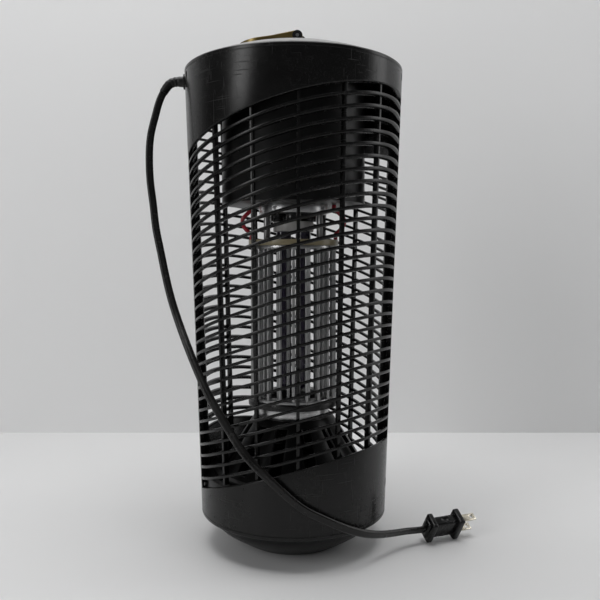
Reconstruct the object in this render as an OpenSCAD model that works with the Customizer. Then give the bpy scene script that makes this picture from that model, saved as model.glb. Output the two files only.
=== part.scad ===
// Hanging electric insect zapper: a slatted lantern body in two half shells,
// a high-voltage grid round an ultraviolet lamp, and a twist-off tray below.
// Millimetres, +Z up, origin at the centre of the tray's foot.

/* [Shell] */
// Outer radius of the body at its bottom rim
shell_bottom_r = 80; // [76:1:96]
// Outer radius of the body at its top rim
shell_top_r = 95.4; // [90:0.2:115]
// Height of the body from rim to rim
shell_height = 382; // [318:1:460]
// Wall thickness of the shells, which is also the depth of a slat
wall = 3.6; // [3:0.1:4.6]
// Turn of the two half shells about the vertical
shell_turn = 2.5; // [0:0.5:10]

/* [Slats] */
// Depth of the slatted window's upper edge below the top rim, on the axis
window_drop = 51; // [48:1:70]
// Height of the slatted window's lower edge above the bottom rim, on the axis
window_rise = 40; // [38:1:60]
// Vertical distance from one slat to the next
slat_pitch = 9.7; // [9:0.1:10]
// Vertical thickness of a slat
slat_t = 2.5; // [2:0.1:4]
// Tilt of the slats from the horizontal
slat_tilt = 17.9; // [10:0.1:20]
// Direction in which the front slats climb
slat_climb = -33.4; // [-60:0.1:0]
// Angle between neighbouring ribs
rib_step = 23.5; // [20:0.5:25]
// Width of a rib
rib_w = 2.6; // [2:0.1:5]
// Depth of the ribs, measured from the outer face
rib_depth = 6.3; // [5:0.1:9]
// Thickness of the flange along each seam
flange_t = 3; // [2:0.1:5]
// Depth of the flange along each seam, measured from the outer face
flange_depth = 8; // [6:0.1:9]
// Width of the bar that ties the slats together along each seam
seam_w = 20; // [8:1:24]
// Recess of that bar behind the slats' outer edges
seam_recess = 0.4; // [0.1:0.1:1]

/* [Cover and handle] */
// Rise of the domed cover above the top rim
dome_rise = 22; // [18:0.5:26]
// Wall thickness of the cover
dome_wall = 2.5; // [2:0.1:3]
// Radius of the circle of cover screws
cover_screw_r = 78; // [72:0.5:80]
// Distance of the handle's pivot from the middle of the cover
pivot_x = 3.3; // [0:0.1:6]
// Height of the handle's pivot above the top of the dome
pivot_rise = 3.7; // [3.5:0.1:6]
// Outer width of the handle
handle_w = 56; // [50:1:80]
// Reach of the handle from its pivot
handle_reach = 52; // [40:1:55]
// Thickness of the handle's strap
strap_t = 3; // [2:0.1:3.5]
// Angle by which the folded handle droops
handle_droop = 7; // [5:0.5:7.5]
// Radius of the pivot pins
pin_r = 2; // [1.5:0.1:2.5]

/* [Ballast drum] */
// Outer radius of the drum
drum_r = 62.8; // [55:0.2:66]
// Height of the drum, from its underside to the top rim
drum_h = 116; // [100:1:122]
// Wall thickness of the drum
drum_wall = 2.5; // [2:0.1:3]

/* [Grid] */
// Radius of the circle of outer grid rods
outer_grid_r = 36; // [35:0.5:38]
// Radius of the circle of inner grid rods
inner_grid_r = 28; // [26.5:0.5:29]
// Rods in each grid
grid_rods = 20; // [12:1:24]
// Radius of a grid rod
rod_r = 1.5; // [1:0.1:2]
// Distance from the underside of the drum down to the top of the grid
grid_drop = 36; // [33:1:50]
// Height of the foot of the grid above the collar
grid_rise = 62; // [58:1:80]
// Thickness of the insulators
insulator_t = 5; // [4:0.5:5]

/* [Lamp] */
// Radius of one lamp tube
tube_r = 6.5; // [5:0.1:7]
// Distance of the lamp tubes from the axis, along both directions
tube_offset = 8.5; // [8:0.1:10]
// Height of the lamp's lowest point above the foot of the grid
lamp_gap = 6; // [2:1:20]

/* [Tray] */
// Height of the body's bottom rim above the ground
lift = 26; // [24:0.5:28]
// Radius of the tray's foot
foot_r = 42; // [36:1:46]
// Gap between the tray and the inside of the body
tray_side_gap = 2.4; // [1:0.1:5]
// Step in from the tray's side to its neck
neck_step = 6; // [5:0.5:10]
// Wall thickness of the tray
tray_wall = 2.5; // [2:0.1:3]
// Clearance between the tray and the collar that holds it
tray_gap = 0.4; // [0.3:0.05:0.6]
// Turn from locked to open
tray_turn = 30; // [20:1:40]

/* [Cord] */
// Diameter of the power cord
cord_d = 6.6; // [5:0.1:7]
// Radius of the gland's neck
gland_r = 5; // [4.5:0.1:5]

/* [Hidden] */
$fn = 96;
eps = 0.01;
far = 400;

// Levels and slopes that several pieces share
shell_top = lift + shell_height;
shell_slope = (shell_top_r - shell_bottom_r) / shell_height;
function shell_r(z) = shell_bottom_r + shell_slope * (z - lift);
slat_gap = slat_pitch - slat_t;
window_top = shell_top - window_drop;
slat_gaps = round((window_top - lift - window_rise) / slat_pitch);
window_bottom = window_top - slat_gaps * slat_pitch;
tray_r = shell_bottom_r - wall - tray_side_gap;
neck_r = tray_r - neck_step;
drum_flange_t = 2.5;
drum_flange_r = shell_top_r - wall - 0.4;
drum_z = shell_top - drum_h;
drum_floor = drum_z + drum_wall;
collar_z = lift + 20;
collar_h = 14;
collar_lip = 4.5;
collar_bore = neck_r + tray_gap;
lug_out = 3;
groove_r = neck_r + lug_out + tray_gap;
groove_h = 6;
funnel_z = collar_z + collar_h;
plate_r = 31;
plate_h = 9;
pan_r = 30.5;
pan_h = 8;
ring_in = inner_grid_r - 3.5;
ring_out = outer_grid_r + 3.5;
socket_h = 7;
lamp_base_h = 9;
grid_top = drum_z - grid_drop;
grid_bottom = funnel_z + grid_rise;
lamp_base_z = drum_z - pan_h - socket_h - lamp_base_h;
lamp_low = grid_bottom + lamp_gap;
hoop_h = 3;
hoop_t = 2 * rod_r;
lower_plate_top = grid_bottom - insulator_t;
lower_plate_z = lower_plate_top - plate_h;
rib_z0 = funnel_z + 2.5;
rib_z1 = shell_top - 18;
screw_r = 1.5;
head_r = 3.3;
head_t = 1.7;
shell_screw_l = 6;
shell_screw_turn = 75;
shell_screw_top = shell_top - 8;
shell_screw_low = collar_z + 7;
gland_z = shell_top - 8;
gland_flange = 1.8;
gland_face = shell_r(gland_z) + 1.6;

// Dome of the cover: a sphere's cap that stands inside the outer edge of the top rim
dome_base_r = shell_top_r - 1.4;
dome_r = (pow(dome_base_r, 2) + pow(dome_rise, 2)) / (2 * dome_rise);
dome_mid = shell_top + dome_rise - dome_r;
function dome_z(r) = dome_mid + sqrt(pow(dome_r, 2) - r * r);
screw_seat = dome_z(cover_screw_r) - 2.6;

// Handle: pivot axis along Y, strap outside the two lugs
pivot_z = shell_top + dome_rise + pivot_rise;
eye_r = 4.5;
strap_end = 2.3;
handle_corner = 20;
lug_y = handle_w / 2 - strap_t - 0.3;
lug_t = 3.7;

// Route of the cord, from the gland down the left side, across the front and to the plug
function off_gland(s) = let (r = gland_face + 0.05 + s)
    [-r * cos(shell_turn), -r * sin(shell_turn), gland_z];
plug_turn = 22;
plug_at = [112.3, -21, 13.2];
function off_plug(s) = plug_at - s * [cos(plug_turn), sin(plug_turn), 0];
cord_route = [
    off_gland(0), off_gland(3), off_gland(6), [-109.5, -5, 397], [-116.5, -6, 385], [-121, -6, 370],
    [-125, -7, 352], [-126, -8, 334], [-125, -9, 313], [-122, -11, 292], [-119, -14, 271],
    [-114, -18, 250], [-109, -23, 230], [-103, -29, 210], [-95, -37, 190], [-86, -47, 171],
    [-76, -56, 151], [-67, -63, 135], [-59, -68, 123], [-50, -73, 110], [-42, -78, 99],
    [-33, -82, 89], [-21, -85, 78], [-3, -87, 62], [9, -87, 53], [21, -84, 46],
    [37, -78, 37], [53, -68, 28.5], [68, -55, 22], [82, -41, 17.5], [94.5, -29.6, 14.6],
    off_plug(5.6), off_plug(2.8), off_plug(0)
];
cord_sides = 10;
rings_a_span = 2;
relief_len = 22;
relief_r = 4.7;
relief_tip = 3.7;
plug_roll = -57;
plug_l = 34;
plug_w = 23.5;
plug_h = 15;
plug_waist = 3;
plug_corner = 2;

// Route of one high-voltage lead, from the drum to the grid
lead_top = [-pan_r - 5.5, 0, drum_z];
lead_foot = [-outer_grid_r - 1.3, 0, grid_top + insulator_t];
lead_route = [
    lead_top, lead_top + [0, 0, -2], lead_top + [0, 0, -4], lead_top + [-4, 0, -7],
    lead_top + [-9, 0, -13], lead_foot + [-6, 0, 11], lead_foot + [0, 0, 5],
    lead_foot + [0, 0, 2.5], lead_foot
];
lead_r = 1.8;

// Swept tubes: rings along a smooth curve through a list of points
function at(p, i) = p[max(0, min(len(p) - 1, i))];
function curve(p, i, t) =
    let (a = at(p, i - 1), b = at(p, i), c = at(p, i + 1), d = at(p, i + 2))
    0.5 * (2 * b + (c - a) * t + (2 * a - 5 * b + 4 * c - d) * t * t
        + (3 * b - a - 3 * c + d) * t * t * t);
function path(p, n) = [
    for (i = [0 : len(p) - 2]) for (k = [0 : n - 1]) curve(p, i, k / n), p[len(p) - 1]
];
function unit(v) = v / norm(v);
function heading(q, i) = unit(at(q, i + 1) - at(q, i - 1));
function across(q, i) = unit(cross(heading(q, i), [0.1, 1, 0]));
function ring(q, i, r, sides) =
    let (u = across(q, i), v = cross(heading(q, i), u))
    [for (k = [0 : sides - 1]) q[i] + r * (cos(360 * k / sides) * u + sin(360 * k / sides) * v)];
function lengths(q) = [for (i = 0, s = 0; i < len(q); s = s + norm(at(q, i + 1) - q[i]), i = i + 1) s];

// A closed tube along q from ring first to ring last, with the radius running from r0 to r1
module tube(q, first, last, r0, r1, sides) {
    n = last - first + 1;
    points = [for (i = [0 : n - 1]) each ring(q, first + i, r0 + (r1 - r0) * i / (n - 1), sides)];
    walls = [
        for (i = [0 : n - 2]) for (k = [0 : sides - 1])
            let (a = i * sides + k, b = i * sides + (k + 1) % sides)
            [a, a + sides, b + sides, b]
    ];
    start = [for (k = [0 : sides - 1]) k];
    end = [for (k = [sides - 1 : -1 : 0]) (n - 1) * sides + k];
    polyhedron(points, concat([start, end], walls), convexity = 8);
}

// A flat ring
module ring_plate(r_in, r_out, z, h) {
    translate([0, 0, z]) difference() {
        cylinder(r = r_out, h = h);
        translate([0, 0, -1]) cylinder(r = r_in, h = h + 2);
    }
}

// The shells' solid cone, set in by a distance from the outer face
module shell_cone(inset, over = 0) {
    drop = shell_slope * over;
    translate([0, 0, lift - over])
        cylinder(h = shell_height + 2 * over, r1 = shell_bottom_r - inset - drop,
            r2 = shell_top_r - inset + drop);
}

// Opening number k between two slats, as a tilted slab
module slat_opening(k) {
    low = window_top - (k + 1) * slat_pitch;
    translate([0, 0, low]) rotate([0, 0, slat_climb - shell_turn]) rotate([0, -slat_tilt, 0])
        translate([-far / 2, -far / 2, 0]) cube([far, far, slat_gap * cos(slat_tilt)]);
}

// Upright ribs on the inner side of the slats
module shell_ribs() {
    for (i = [-2 : 2]) rotate([0, 0, i * rib_step])
        translate([-rib_w / 2, -far / 2, rib_z0]) cube([rib_w, far / 2 - 20, rib_z1 - rib_z0]);
}

// Upright bars along both seams, between two heights, as wide and as deep as given
module seam_bars(low, high, width, depth) {
    intersection() {
        difference() {
            shell_cone(seam_recess);
            shell_cone(depth, 2);
        }
        translate([-far / 2, -width, low]) cube([far, width, high - low]);
    }
}

module shell_screw_holes() {
    for (s = [-1, 1]) for (z = [shell_screw_low, shell_screw_top])
        rotate([0, 0, s * shell_screw_turn]) translate([0, -shell_r(z), z]) rotate([-90, 0, 0]) {
            translate([0, 0, -1]) cylinder(r = head_r + 0.2, h = 1 + head_t);
            cylinder(r = screw_r, h = wall + 2);
        }
}

// One half shell, whose middle faces -Y; both halves are the same moulding
module half_shell() {
    rotate([0, 0, shell_turn]) difference() {
        union() {
            difference() {
                intersection() {
                    shell_cone(0);
                    translate([-far / 2, -far, 0]) cube([far, far, 2 * far]);
                }
                shell_cone(wall, 2);
                for (k = [0 : slat_gaps - 1]) slat_opening(k);
            }
            intersection() {
                difference() {
                    shell_cone(wall / 2);
                    shell_cone(rib_depth, 2);
                }
                shell_ribs();
            }
            seam_bars(lift + 8, shell_top - 6, seam_w, wall - 0.1);
            seam_bars(rib_z0, rib_z1, flange_t, flange_depth);
        }
        shell_screw_holes();
    }
}

// Hole for the gland, on the left-hand seam
module gland_hole() {
    rotate([0, 0, shell_turn]) translate([0, 0, gland_z]) rotate([0, -90, 0])
        cylinder(r = gland_r, h = far / 2);
}

module front_shell() {
    color([0.10, 0.10, 0.10]) difference() {
        half_shell();
        gland_hole();
    }
}

module rear_shell() {
    color([0.12, 0.12, 0.12]) difference() {
        rotate([0, 0, 180]) half_shell();
        gland_hole();
    }
}

// Screw along its own +Z from the seat of its head
module screw(length) {
    difference() {
        translate([0, 0, -head_t]) cylinder(r = head_r, h = head_t);
        for (a = [0, 90]) rotate([0, 0, a]) translate([-0.4, -2, -head_t - 1]) cube([0.8, 4, 1.8]);
    }
    cylinder(r = screw_r, h = length);
}

module shell_screws() {
    color([0.2, 0.2, 0.2])
    for (half = [0, 180]) rotate([0, 0, half + shell_turn])
        for (s = [-1, 1]) for (z = [shell_screw_low, shell_screw_top])
            rotate([0, 0, s * shell_screw_turn])
                translate([0, head_t - shell_r(z), z]) rotate([-90, 0, 0])
                    screw(shell_screw_l);
}

module dome_ball(inset) {
    translate([0, 0, dome_mid]) sphere(r = dome_r - inset, $fn = 360);
}

module dome_cap(inset) {
    intersection() {
        dome_ball(inset);
        translate([0, 0, shell_top]) cylinder(r = dome_base_r, h = dome_rise + 1);
    }
}

module top_cover() {
    color([0.75, 0.75, 0.73]) difference() {
        union() {
            difference() {
                dome_cap(0);
                dome_cap(dome_wall);
            }
            intersection() {
                dome_cap(dome_wall / 2);
                for (a = [45 : 90 : 315]) rotate([0, 0, a])
                    translate([cover_screw_r, 0, shell_top]) cylinder(r = 5, h = dome_rise);
            }
        }
        for (a = [45 : 90 : 315]) rotate([0, 0, a]) translate([cover_screw_r, 0, shell_top - 1]) {
            cylinder(r = screw_r, h = dome_rise + 2);
            translate([0, 0, screw_seat - shell_top + 1]) cylinder(r = head_r + 0.3, h = dome_rise);
        }
    }
}

module cover_screws() {
    color([0.7, 0.7, 0.7]) for (a = [45 : 90 : 315]) rotate([0, 0, a])
        translate([cover_screw_r, 0, screw_seat]) rotate([180, 0, 0])
            screw(screw_seat - shell_top + drum_flange_t);
}

// Lug outline seen from the front, with its foot sloping away to the right
module lug_outline() {
    difference() {
        union() {
            circle(r = eye_r - 0.7);
            polygon([[-eye_r + 0.7, 0], [-eye_r - 1, -14], [15, -14], [12, -6.2], [3.2, 2]]);
        }
        circle(r = pin_r);
    }
}

module handle_lugs() {
    color([0.08, 0.08, 0.08]) difference() {
        for (s = [-1, 1]) translate([pivot_x, s * lug_y, pivot_z]) rotate([90, 0, 0])
            translate([0, 0, s > 0 ? 0 : -lug_t]) linear_extrude(height = lug_t) lug_outline();
        dome_ball(0);
    }
}

module handle_pins() {
    head_y = handle_w / 2 + 0.3;
    color([0.8, 0.8, 0.8]) for (s = [-1, 1]) translate([pivot_x, 0, pivot_z])
        rotate([-90 * s, 0, 0]) {
            translate([0, 0, lug_y - lug_t]) cylinder(r = pin_r, h = head_y - lug_y + lug_t + 0.5);
            translate([0, 0, head_y]) difference() {
                cylinder(r = 3.4, h = 1.7);
                translate([-0.45, -2.2, 0.9]) cube([0.9, 4.4, 2]);
            }
        }
}

// Plan of the handle's loop, set in by a distance from its outer edge
module loop_plan(inset) {
    half = handle_w / 2;
    mid = handle_reach - handle_corner;
    for (s = [-1, 1]) translate([-mid, s * (half - handle_corner)]) circle(r = handle_corner - inset);
    translate([-mid, inset - half]) square([mid + eye_r + inset, 2 * (half - inset)]);
    translate([inset - handle_reach, handle_corner - half])
        square([handle_corner, 2 * (half - handle_corner)]);
}

module carry_handle() {
    color([0.5, 0.42, 0.2]) translate([pivot_x, 0, pivot_z]) rotate([0, -handle_droop, 0])
        difference() {
            intersection() {
                translate([0, 0, -eye_r - 1]) linear_extrude(height = 2 * eye_r + 2) difference() {
                    loop_plan(0);
                    loop_plan(strap_t);
                }
                rotate([90, 0, 0]) translate([0, 0, -far / 2]) linear_extrude(height = far) {
                    circle(r = eye_r);
                    polygon([
                        [0, eye_r], [-22, 2.8], [-handle_reach - 1, strap_end],
                        [-handle_reach - 1, -strap_end], [-22, -2.8], [0, -eye_r]
                    ]);
                }
            }
            translate([0, far / 2, 0]) rotate([90, 0, 0]) cylinder(r = pin_r + 0.06, h = far);
        }
}

// Drum: a cup hung from a flange under the cover, with four pads for the shell screws
module ballast_housing() {
    flange_z = shell_top - drum_flange_t;
    pad_h = 11;
    color([0.06, 0.06, 0.06]) difference() {
        union() {
            translate([0, 0, drum_z]) cylinder(r = drum_r, h = shell_top - drum_z);
            translate([0, 0, flange_z]) cylinder(r = drum_flange_r, h = drum_flange_t);
            intersection() {
                translate([0, 0, flange_z - pad_h]) cylinder(r = drum_flange_r - 0.5, h = pad_h + 1);
                for (half = [0, 180]) for (s = [-1, 1])
                    rotate([0, 0, half + shell_turn + s * shell_screw_turn])
                        translate([-5, -drum_flange_r, flange_z - pad_h]) cube([10, 12, pad_h + 1]);
            }
        }
        translate([0, 0, drum_floor]) cylinder(r = drum_r - drum_wall, h = far);
        for (a = [45 : 90 : 315]) rotate([0, 0, a])
            translate([cover_screw_r, 0, flange_z - 1]) cylinder(r = screw_r, h = 5);
        for (half = [0, 180]) for (s = [-1, 1])
            rotate([0, 0, half + shell_turn + s * shell_screw_turn])
                translate([0, -far / 2, shell_screw_top]) rotate([-90, 0, 0])
                    cylinder(r = screw_r,
                        h = far / 2 - shell_r(shell_screw_top) + head_t + shell_screw_l);
    }
}

core_w = 62;
core_d = 30;
core_h = 52;
coil_w = 26;

module ballast_core() {
    color([0.35, 0.33, 0.30]) translate([-core_w / 2 - 8, -core_d / 2, drum_floor]) difference() {
        cube([core_w, core_d, core_h]);
        for (x = [9, core_w - 9 - 13]) translate([x, -1, 9]) cube([13, core_d + 2, core_h - 18]);
    }
}

module ballast_coil() {
    z = drum_floor + 9.5;
    color([0.75, 0.6, 0.2]) translate([-8, 0, z]) difference() {
        translate([-core_w / 2 + 9.5, -core_d / 2 - 9, 0]) cube([core_w - 19, core_d + 18, core_h - 19]);
        translate([-core_w / 2 + 22, -core_d / 2, -1]) cube([core_w - 44, core_d, core_h]);
    }
}

module hv_capacitor() {
    color([0.15, 0.25, 0.6]) translate([36, -14, drum_floor + 9])
        rotate([90, 0, 0]) translate([0, 0, -28]) cylinder(r = 9, h = 28);
}

module terminal_block() {
    color([0.9, 0.9, 0.86]) translate([-10, 34, drum_floor]) difference() {
        cube([36, 14, 14]);
        for (i = [0 : 2]) translate([6 + 12 * i, 7, 6]) cylinder(r = 3, h = 20);
    }
}

// Shallow metal cup under the drum that carries the lamp socket and the grid
module upper_plate() {
    z = drum_z - pan_h;
    color([0.78, 0.79, 0.8]) difference() {
        translate([0, 0, z]) cylinder(r = pan_r, h = pan_h);
        translate([0, 0, z + 2]) cylinder(r = pan_r - 2, h = pan_h);
        for (a = [-32, 58, 148, 238]) rotate([0, 0, a]) translate([0, -pan_r - 1, z + 4.2])
            rotate([-90, 0, 0]) cylinder(r = screw_r, h = 5);
    }
}

module plate_screws() {
    color([0.6, 0.6, 0.6]) for (a = [-32, 58, 148, 238]) rotate([0, 0, a])
        translate([0, -pan_r, drum_z - pan_h + 4.2]) rotate([-90, 0, 0]) screw(4);
}

module lamp_socket() {
    color([0.07, 0.07, 0.08]) translate([0, 0, lamp_base_z + lamp_base_h]) {
        cylinder(r = 10, h = socket_h);
        for (a = [0, 90]) rotate([0, 0, a]) translate([-14, -5, 0]) cube([28, 10, socket_h]);
        for (a = [0 : 90 : 270]) rotate([0, 0, a]) translate([14, 0, 0]) cylinder(r = 6.8, h = socket_h);
    }
}

module lamp_base() {
    color([0.8, 0.8, 0.78]) translate([0, 0, lamp_base_z]) cylinder(r = 17.8, h = lamp_base_h);
}

// Four upright tubes, joined in pairs by a bend at the bottom
module uv_lamp() {
    bend_z = lamp_low + tube_r + tube_offset;
    color([0.12, 0.09, 0.2]) for (s = [-1, 1]) translate([0, s * tube_offset, 0]) {
        for (t = [-1, 1]) translate([t * tube_offset, 0, bend_z])
            cylinder(r = tube_r, h = lamp_base_z - bend_z);
        translate([0, 0, bend_z]) intersection() {
            rotate([90, 0, 0]) rotate_extrude() translate([tube_offset, 0]) circle(r = tube_r);
            translate([-far / 2, -far / 2, -far]) cube([far, far, far]);
        }
    }
}

module grid_posts() {
    color([0.6, 0.6, 0.6]) for (a = [30, 150, 210, 330]) rotate([0, 0, a])
        translate([inner_grid_r - 1.2, 0, grid_top + insulator_t])
            cylinder(r = 2.4, h = drum_z - pan_h - grid_top - insulator_t);
}

module upper_insulator() {
    color([0.8, 0.75, 0.6]) ring_plate(ring_in, ring_out, grid_top, insulator_t);
}

module lower_insulator() {
    color([0.1, 0.1, 0.1]) ring_plate(ring_in, ring_out, grid_bottom - insulator_t, insulator_t);
}

// Two flat hoops that the rods of one grid are welded to
module grid_hoops(r) {
    for (z = [grid_bottom, grid_top - hoop_h])
        ring_plate(r - hoop_t / 2, r + hoop_t / 2, z, hoop_h);
}

module grid_rods_at(r, turn) {
    for (i = [0 : grid_rods - 1]) rotate([0, 0, turn + 360 * i / grid_rods])
        translate([r, 0, grid_bottom + hoop_h])
            cylinder(r = rod_r, h = grid_top - grid_bottom - 2 * hoop_h);
}

module outer_grid_hoops() {
    color([0.72, 0.73, 0.73]) grid_hoops(outer_grid_r);
}

module outer_grid_rods() {
    color([0.75, 0.76, 0.76]) grid_rods_at(outer_grid_r, 0);
}

module inner_grid_hoops() {
    color([0.66, 0.67, 0.68]) grid_hoops(inner_grid_r);
}

module inner_grid_rods() {
    color([0.7, 0.71, 0.72]) grid_rods_at(inner_grid_r, 180 / grid_rods);
}

module lower_plate() {
    color([0.7, 0.71, 0.72]) difference() {
        translate([0, 0, lower_plate_z]) cylinder(r = plate_r, h = plate_h);
        translate([0, 0, lower_plate_z - 1]) cylinder(r = plate_r - 2, h = plate_h - 1);
        translate([0, 0, lower_plate_z]) cylinder(r = 12, h = far);
    }
}

// Open cone that carries the grid and lets the insects fall into the tray
module catch_funnel() {
    top_r = plate_r + 3;
    foot = neck_r - 4;
    foot_t = 2.5;
    cone_h = lower_plate_z - funnel_z - foot_t;
    color([0.07, 0.07, 0.07]) difference() {
        union() {
            ring_plate(foot - 5, foot + 6, funnel_z, foot_t);
            translate([0, 0, funnel_z + foot_t]) difference() {
                cylinder(r1 = foot, r2 = top_r, h = cone_h);
                translate([0, 0, -eps]) cylinder(r1 = foot - 3, r2 = top_r - 3, h = cone_h - 3);
                translate([0, 0, cone_h - 4]) cylinder(r = top_r - 6, h = 10);
            }
        }
        for (i = [0 : 11]) rotate([0, 0, 15 + 30 * i])
            translate([top_r - 2, -5, funnel_z + foot_t + 3]) cube([far, 10, cone_h - 9]);
    }
}

module collar_sector(angle, turn, r0, r1, z, h) {
    w = 2 * r1 * tan(angle / 2);
    rotate([0, 0, turn]) translate([0, 0, z]) intersection() {
        difference() {
            cylinder(r = r1, h = h);
            translate([0, 0, -1]) cylinder(r = r0, h = h + 2);
        }
        linear_extrude(height = h) polygon([[0, 0], [r1 + 1, -w / 2], [r1 + 1, w / 2]]);
    }
}

// Collar inside the bottom of the body: a lip, a groove above it and three notches
module tray_collar() {
    groove_z = collar_z + collar_lip;
    color([0.09, 0.09, 0.09]) difference() {
        translate([0, 0, collar_z]) cylinder(r = shell_r(collar_z) - wall - 0.2, h = collar_h);
        translate([0, 0, collar_z - 1]) cylinder(r = collar_bore, h = collar_h - 1.5);
        translate([0, 0, collar_z]) cylinder(r = neck_r - 2, h = collar_h + 1);
        translate([0, 0, groove_z]) cylinder(r = groove_r, h = groove_h);
        for (a = [0, 120, 240])
            collar_sector(20, a + tray_turn, neck_r - 1, groove_r - 0.2, collar_z - 1, collar_lip + 2);
        for (half = [0, 180]) for (s = [-1, 1])
            rotate([0, 0, half + shell_turn + s * shell_screw_turn])
                translate([0, -far / 2, shell_screw_low]) rotate([-90, 0, 0])
                    cylinder(r = screw_r,
                        h = far / 2 - shell_r(shell_screw_low) + head_t + shell_screw_l);
    }
}

// Tray: a bowl on a foot ring, with a neck and three bayonet lugs
module collection_tray() {
    neck_top = collar_z + collar_h - 2.5 - tray_gap;
    shoulder = collar_z - tray_gap;
    lug_z = collar_z + collar_lip + tray_gap;
    in_neck = neck_r - tray_wall;
    color([0.08, 0.08, 0.08]) {
        rotate_extrude() polygon([
            [0, 2], [foot_r - 5, 2], [foot_r - 5, 0], [foot_r, 0], [foot_r + 15, 9],
            [tray_r - 4, 19], [tray_r, 27], [tray_r, shoulder], [neck_r, shoulder],
            [neck_r, neck_top], [in_neck, neck_top], [in_neck, shoulder - 16],
            [foot_r + 13, 12.5], [foot_r - 1, 4.5], [0, 4.5]
        ]);
        for (a = [0, 120, 240])
            collar_sector(14, a, neck_r - 1, neck_r + lug_out, lug_z, 4);
    }
}

module hv_leads() {
    q = path(lead_route, 3);
    color([0.75, 0.1, 0.2]) for (a = [0, 180]) rotate([0, 0, a])
        tube(q, 0, len(q) - 1, lead_r, lead_r, 8);
}

// Grommet in the seam, its outer flange seated on the body
module cord_gland() {
    color([0.05, 0.05, 0.05]) rotate([0, 0, shell_turn]) {
        translate([0, 0, gland_z]) rotate([0, -90, 0])
            translate([0, 0, shell_r(gland_z) - wall - 1]) cylinder(r = gland_r - 0.05, h = wall + 1.5);
        difference() {
            translate([0, 0, gland_z]) rotate([0, -90, 0])
                translate([0, 0, gland_face - 2.6]) cylinder(r = gland_r + gland_flange, h = 2.6);
            shell_cone(0, 1);
        }
    }
}

cord_path = path(cord_route, rings_a_span);
cord_along = lengths(cord_path);
relief_rings = len([for (s = cord_along) if (s < relief_len) s]);

module strain_relief() {
    color([0.05, 0.05, 0.05])
        tube(cord_path, 0, relief_rings, relief_r, relief_tip, cord_sides);
}

module power_cord() {
    color([0.07, 0.07, 0.07])
        tube(cord_path, relief_rings, len(cord_path) - 1, cord_d / 2, cord_d / 2, cord_sides);
}

// Places a child with its +X along the plug and its origin where the cord ends
module at_plug() {
    translate(plug_at) rotate([0, 0, plug_turn]) rotate([plug_roll, 0, 0]) children();
}

// A rounded block across the plug's axis, set in from the plug's outline
module plug_block(x0, x1, inset) {
    w = plug_w - 2 * inset;
    h = plug_h - 2 * inset;
    translate([x0, 0, 0]) rotate([90, 0, 90]) linear_extrude(height = x1 - x0) union() {
        square([w - 2 * plug_corner, h], center = true);
        square([w, h - 2 * plug_corner], center = true);
        for (s = [-1, 1]) for (t = [-1, 1])
            translate([s * (w / 2 - plug_corner), t * (h / 2 - plug_corner)]) circle(r = plug_corner);
    }
}

module plug_body() {
    side = plug_w / 2 - plug_waist;
    color([0.06, 0.06, 0.06]) at_plug() difference() {
        union() {
            plug_block(0, 2, 3.5);
            plug_block(2, 7.5, 0.5);
            plug_block(7.5, plug_l - 6, plug_waist);
            plug_block(plug_l - 6, plug_l, 0);
        }
        for (s = [-1, 1]) translate([plug_l / 2, s * (side - 0.8), 0]) rotate([-90 * s, 0, 0])
            cylinder(r = 3.2, h = 2);
    }
}

module plug_blades() {
    color([0.8, 0.78, 0.7]) at_plug() for (s = [-1, 1])
        translate([plug_l, s * 6.35 - 0.75, -3.2]) difference() {
            cube([14.5, 1.5, 6.4]);
            translate([10.8, 3, 3.2]) rotate([90, 0, 0]) cylinder(r = 1.6, h = 6);
        }
}

front_shell();
rear_shell();
shell_screws();
top_cover();
cover_screws();
handle_lugs();
handle_pins();
carry_handle();
ballast_housing();
ballast_core();
ballast_coil();
hv_capacitor();
terminal_block();
upper_plate();
plate_screws();
lamp_socket();
lamp_base();
uv_lamp();
grid_posts();
upper_insulator();
outer_grid_hoops();
outer_grid_rods();
inner_grid_hoops();
inner_grid_rods();
lower_insulator();
lower_plate();
catch_funnel();
tray_collar();
collection_tray();
hv_leads();
cord_gland();
strain_relief();
power_cord();
plug_body();
plug_blades();
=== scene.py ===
# Hanging electric insect zapper: slatted lantern body, grid round a lamp, twist-off tray
import math

import bmesh
import bpy
from mathutils import Matrix, Vector


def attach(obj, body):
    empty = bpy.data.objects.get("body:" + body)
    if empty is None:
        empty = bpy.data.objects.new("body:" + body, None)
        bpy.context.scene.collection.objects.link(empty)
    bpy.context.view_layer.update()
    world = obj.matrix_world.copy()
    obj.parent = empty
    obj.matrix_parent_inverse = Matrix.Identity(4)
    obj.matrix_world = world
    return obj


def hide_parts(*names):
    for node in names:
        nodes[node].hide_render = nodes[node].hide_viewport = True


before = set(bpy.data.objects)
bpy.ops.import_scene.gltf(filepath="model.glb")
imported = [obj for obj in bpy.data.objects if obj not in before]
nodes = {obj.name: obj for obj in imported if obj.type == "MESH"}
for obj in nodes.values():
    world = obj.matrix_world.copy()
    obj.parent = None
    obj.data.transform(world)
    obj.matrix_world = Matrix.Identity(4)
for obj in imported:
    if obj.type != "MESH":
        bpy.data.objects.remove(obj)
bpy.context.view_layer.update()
mm = 0.001


# ---- camera ----
cameraView = {"lens": 42.0, "place": (0.0, -0.620, 0.246), "shiftX": 0.011, "shiftY": -0.0717}

cameraData = bpy.data.cameras.new("camera")
cameraData.lens = cameraView["lens"]
cameraData.sensor_width = 36.0
cameraData.shift_x = cameraView["shiftX"]
cameraData.shift_y = cameraView["shiftY"]
camera = bpy.data.objects.new("camera", cameraData)
camera.location = cameraView["place"]
camera.rotation_euler = (math.radians(90), 0, 0)
bpy.context.scene.collection.objects.link(camera)
bpy.context.scene.camera = camera


# ---- shared ways of shaping ----
def circleOutline(radius, sides):
    turns = [2 * math.pi * i / sides for i in range(sides)]
    return [(radius * math.sin(a), radius * math.cos(a)) for a in turns]


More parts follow.
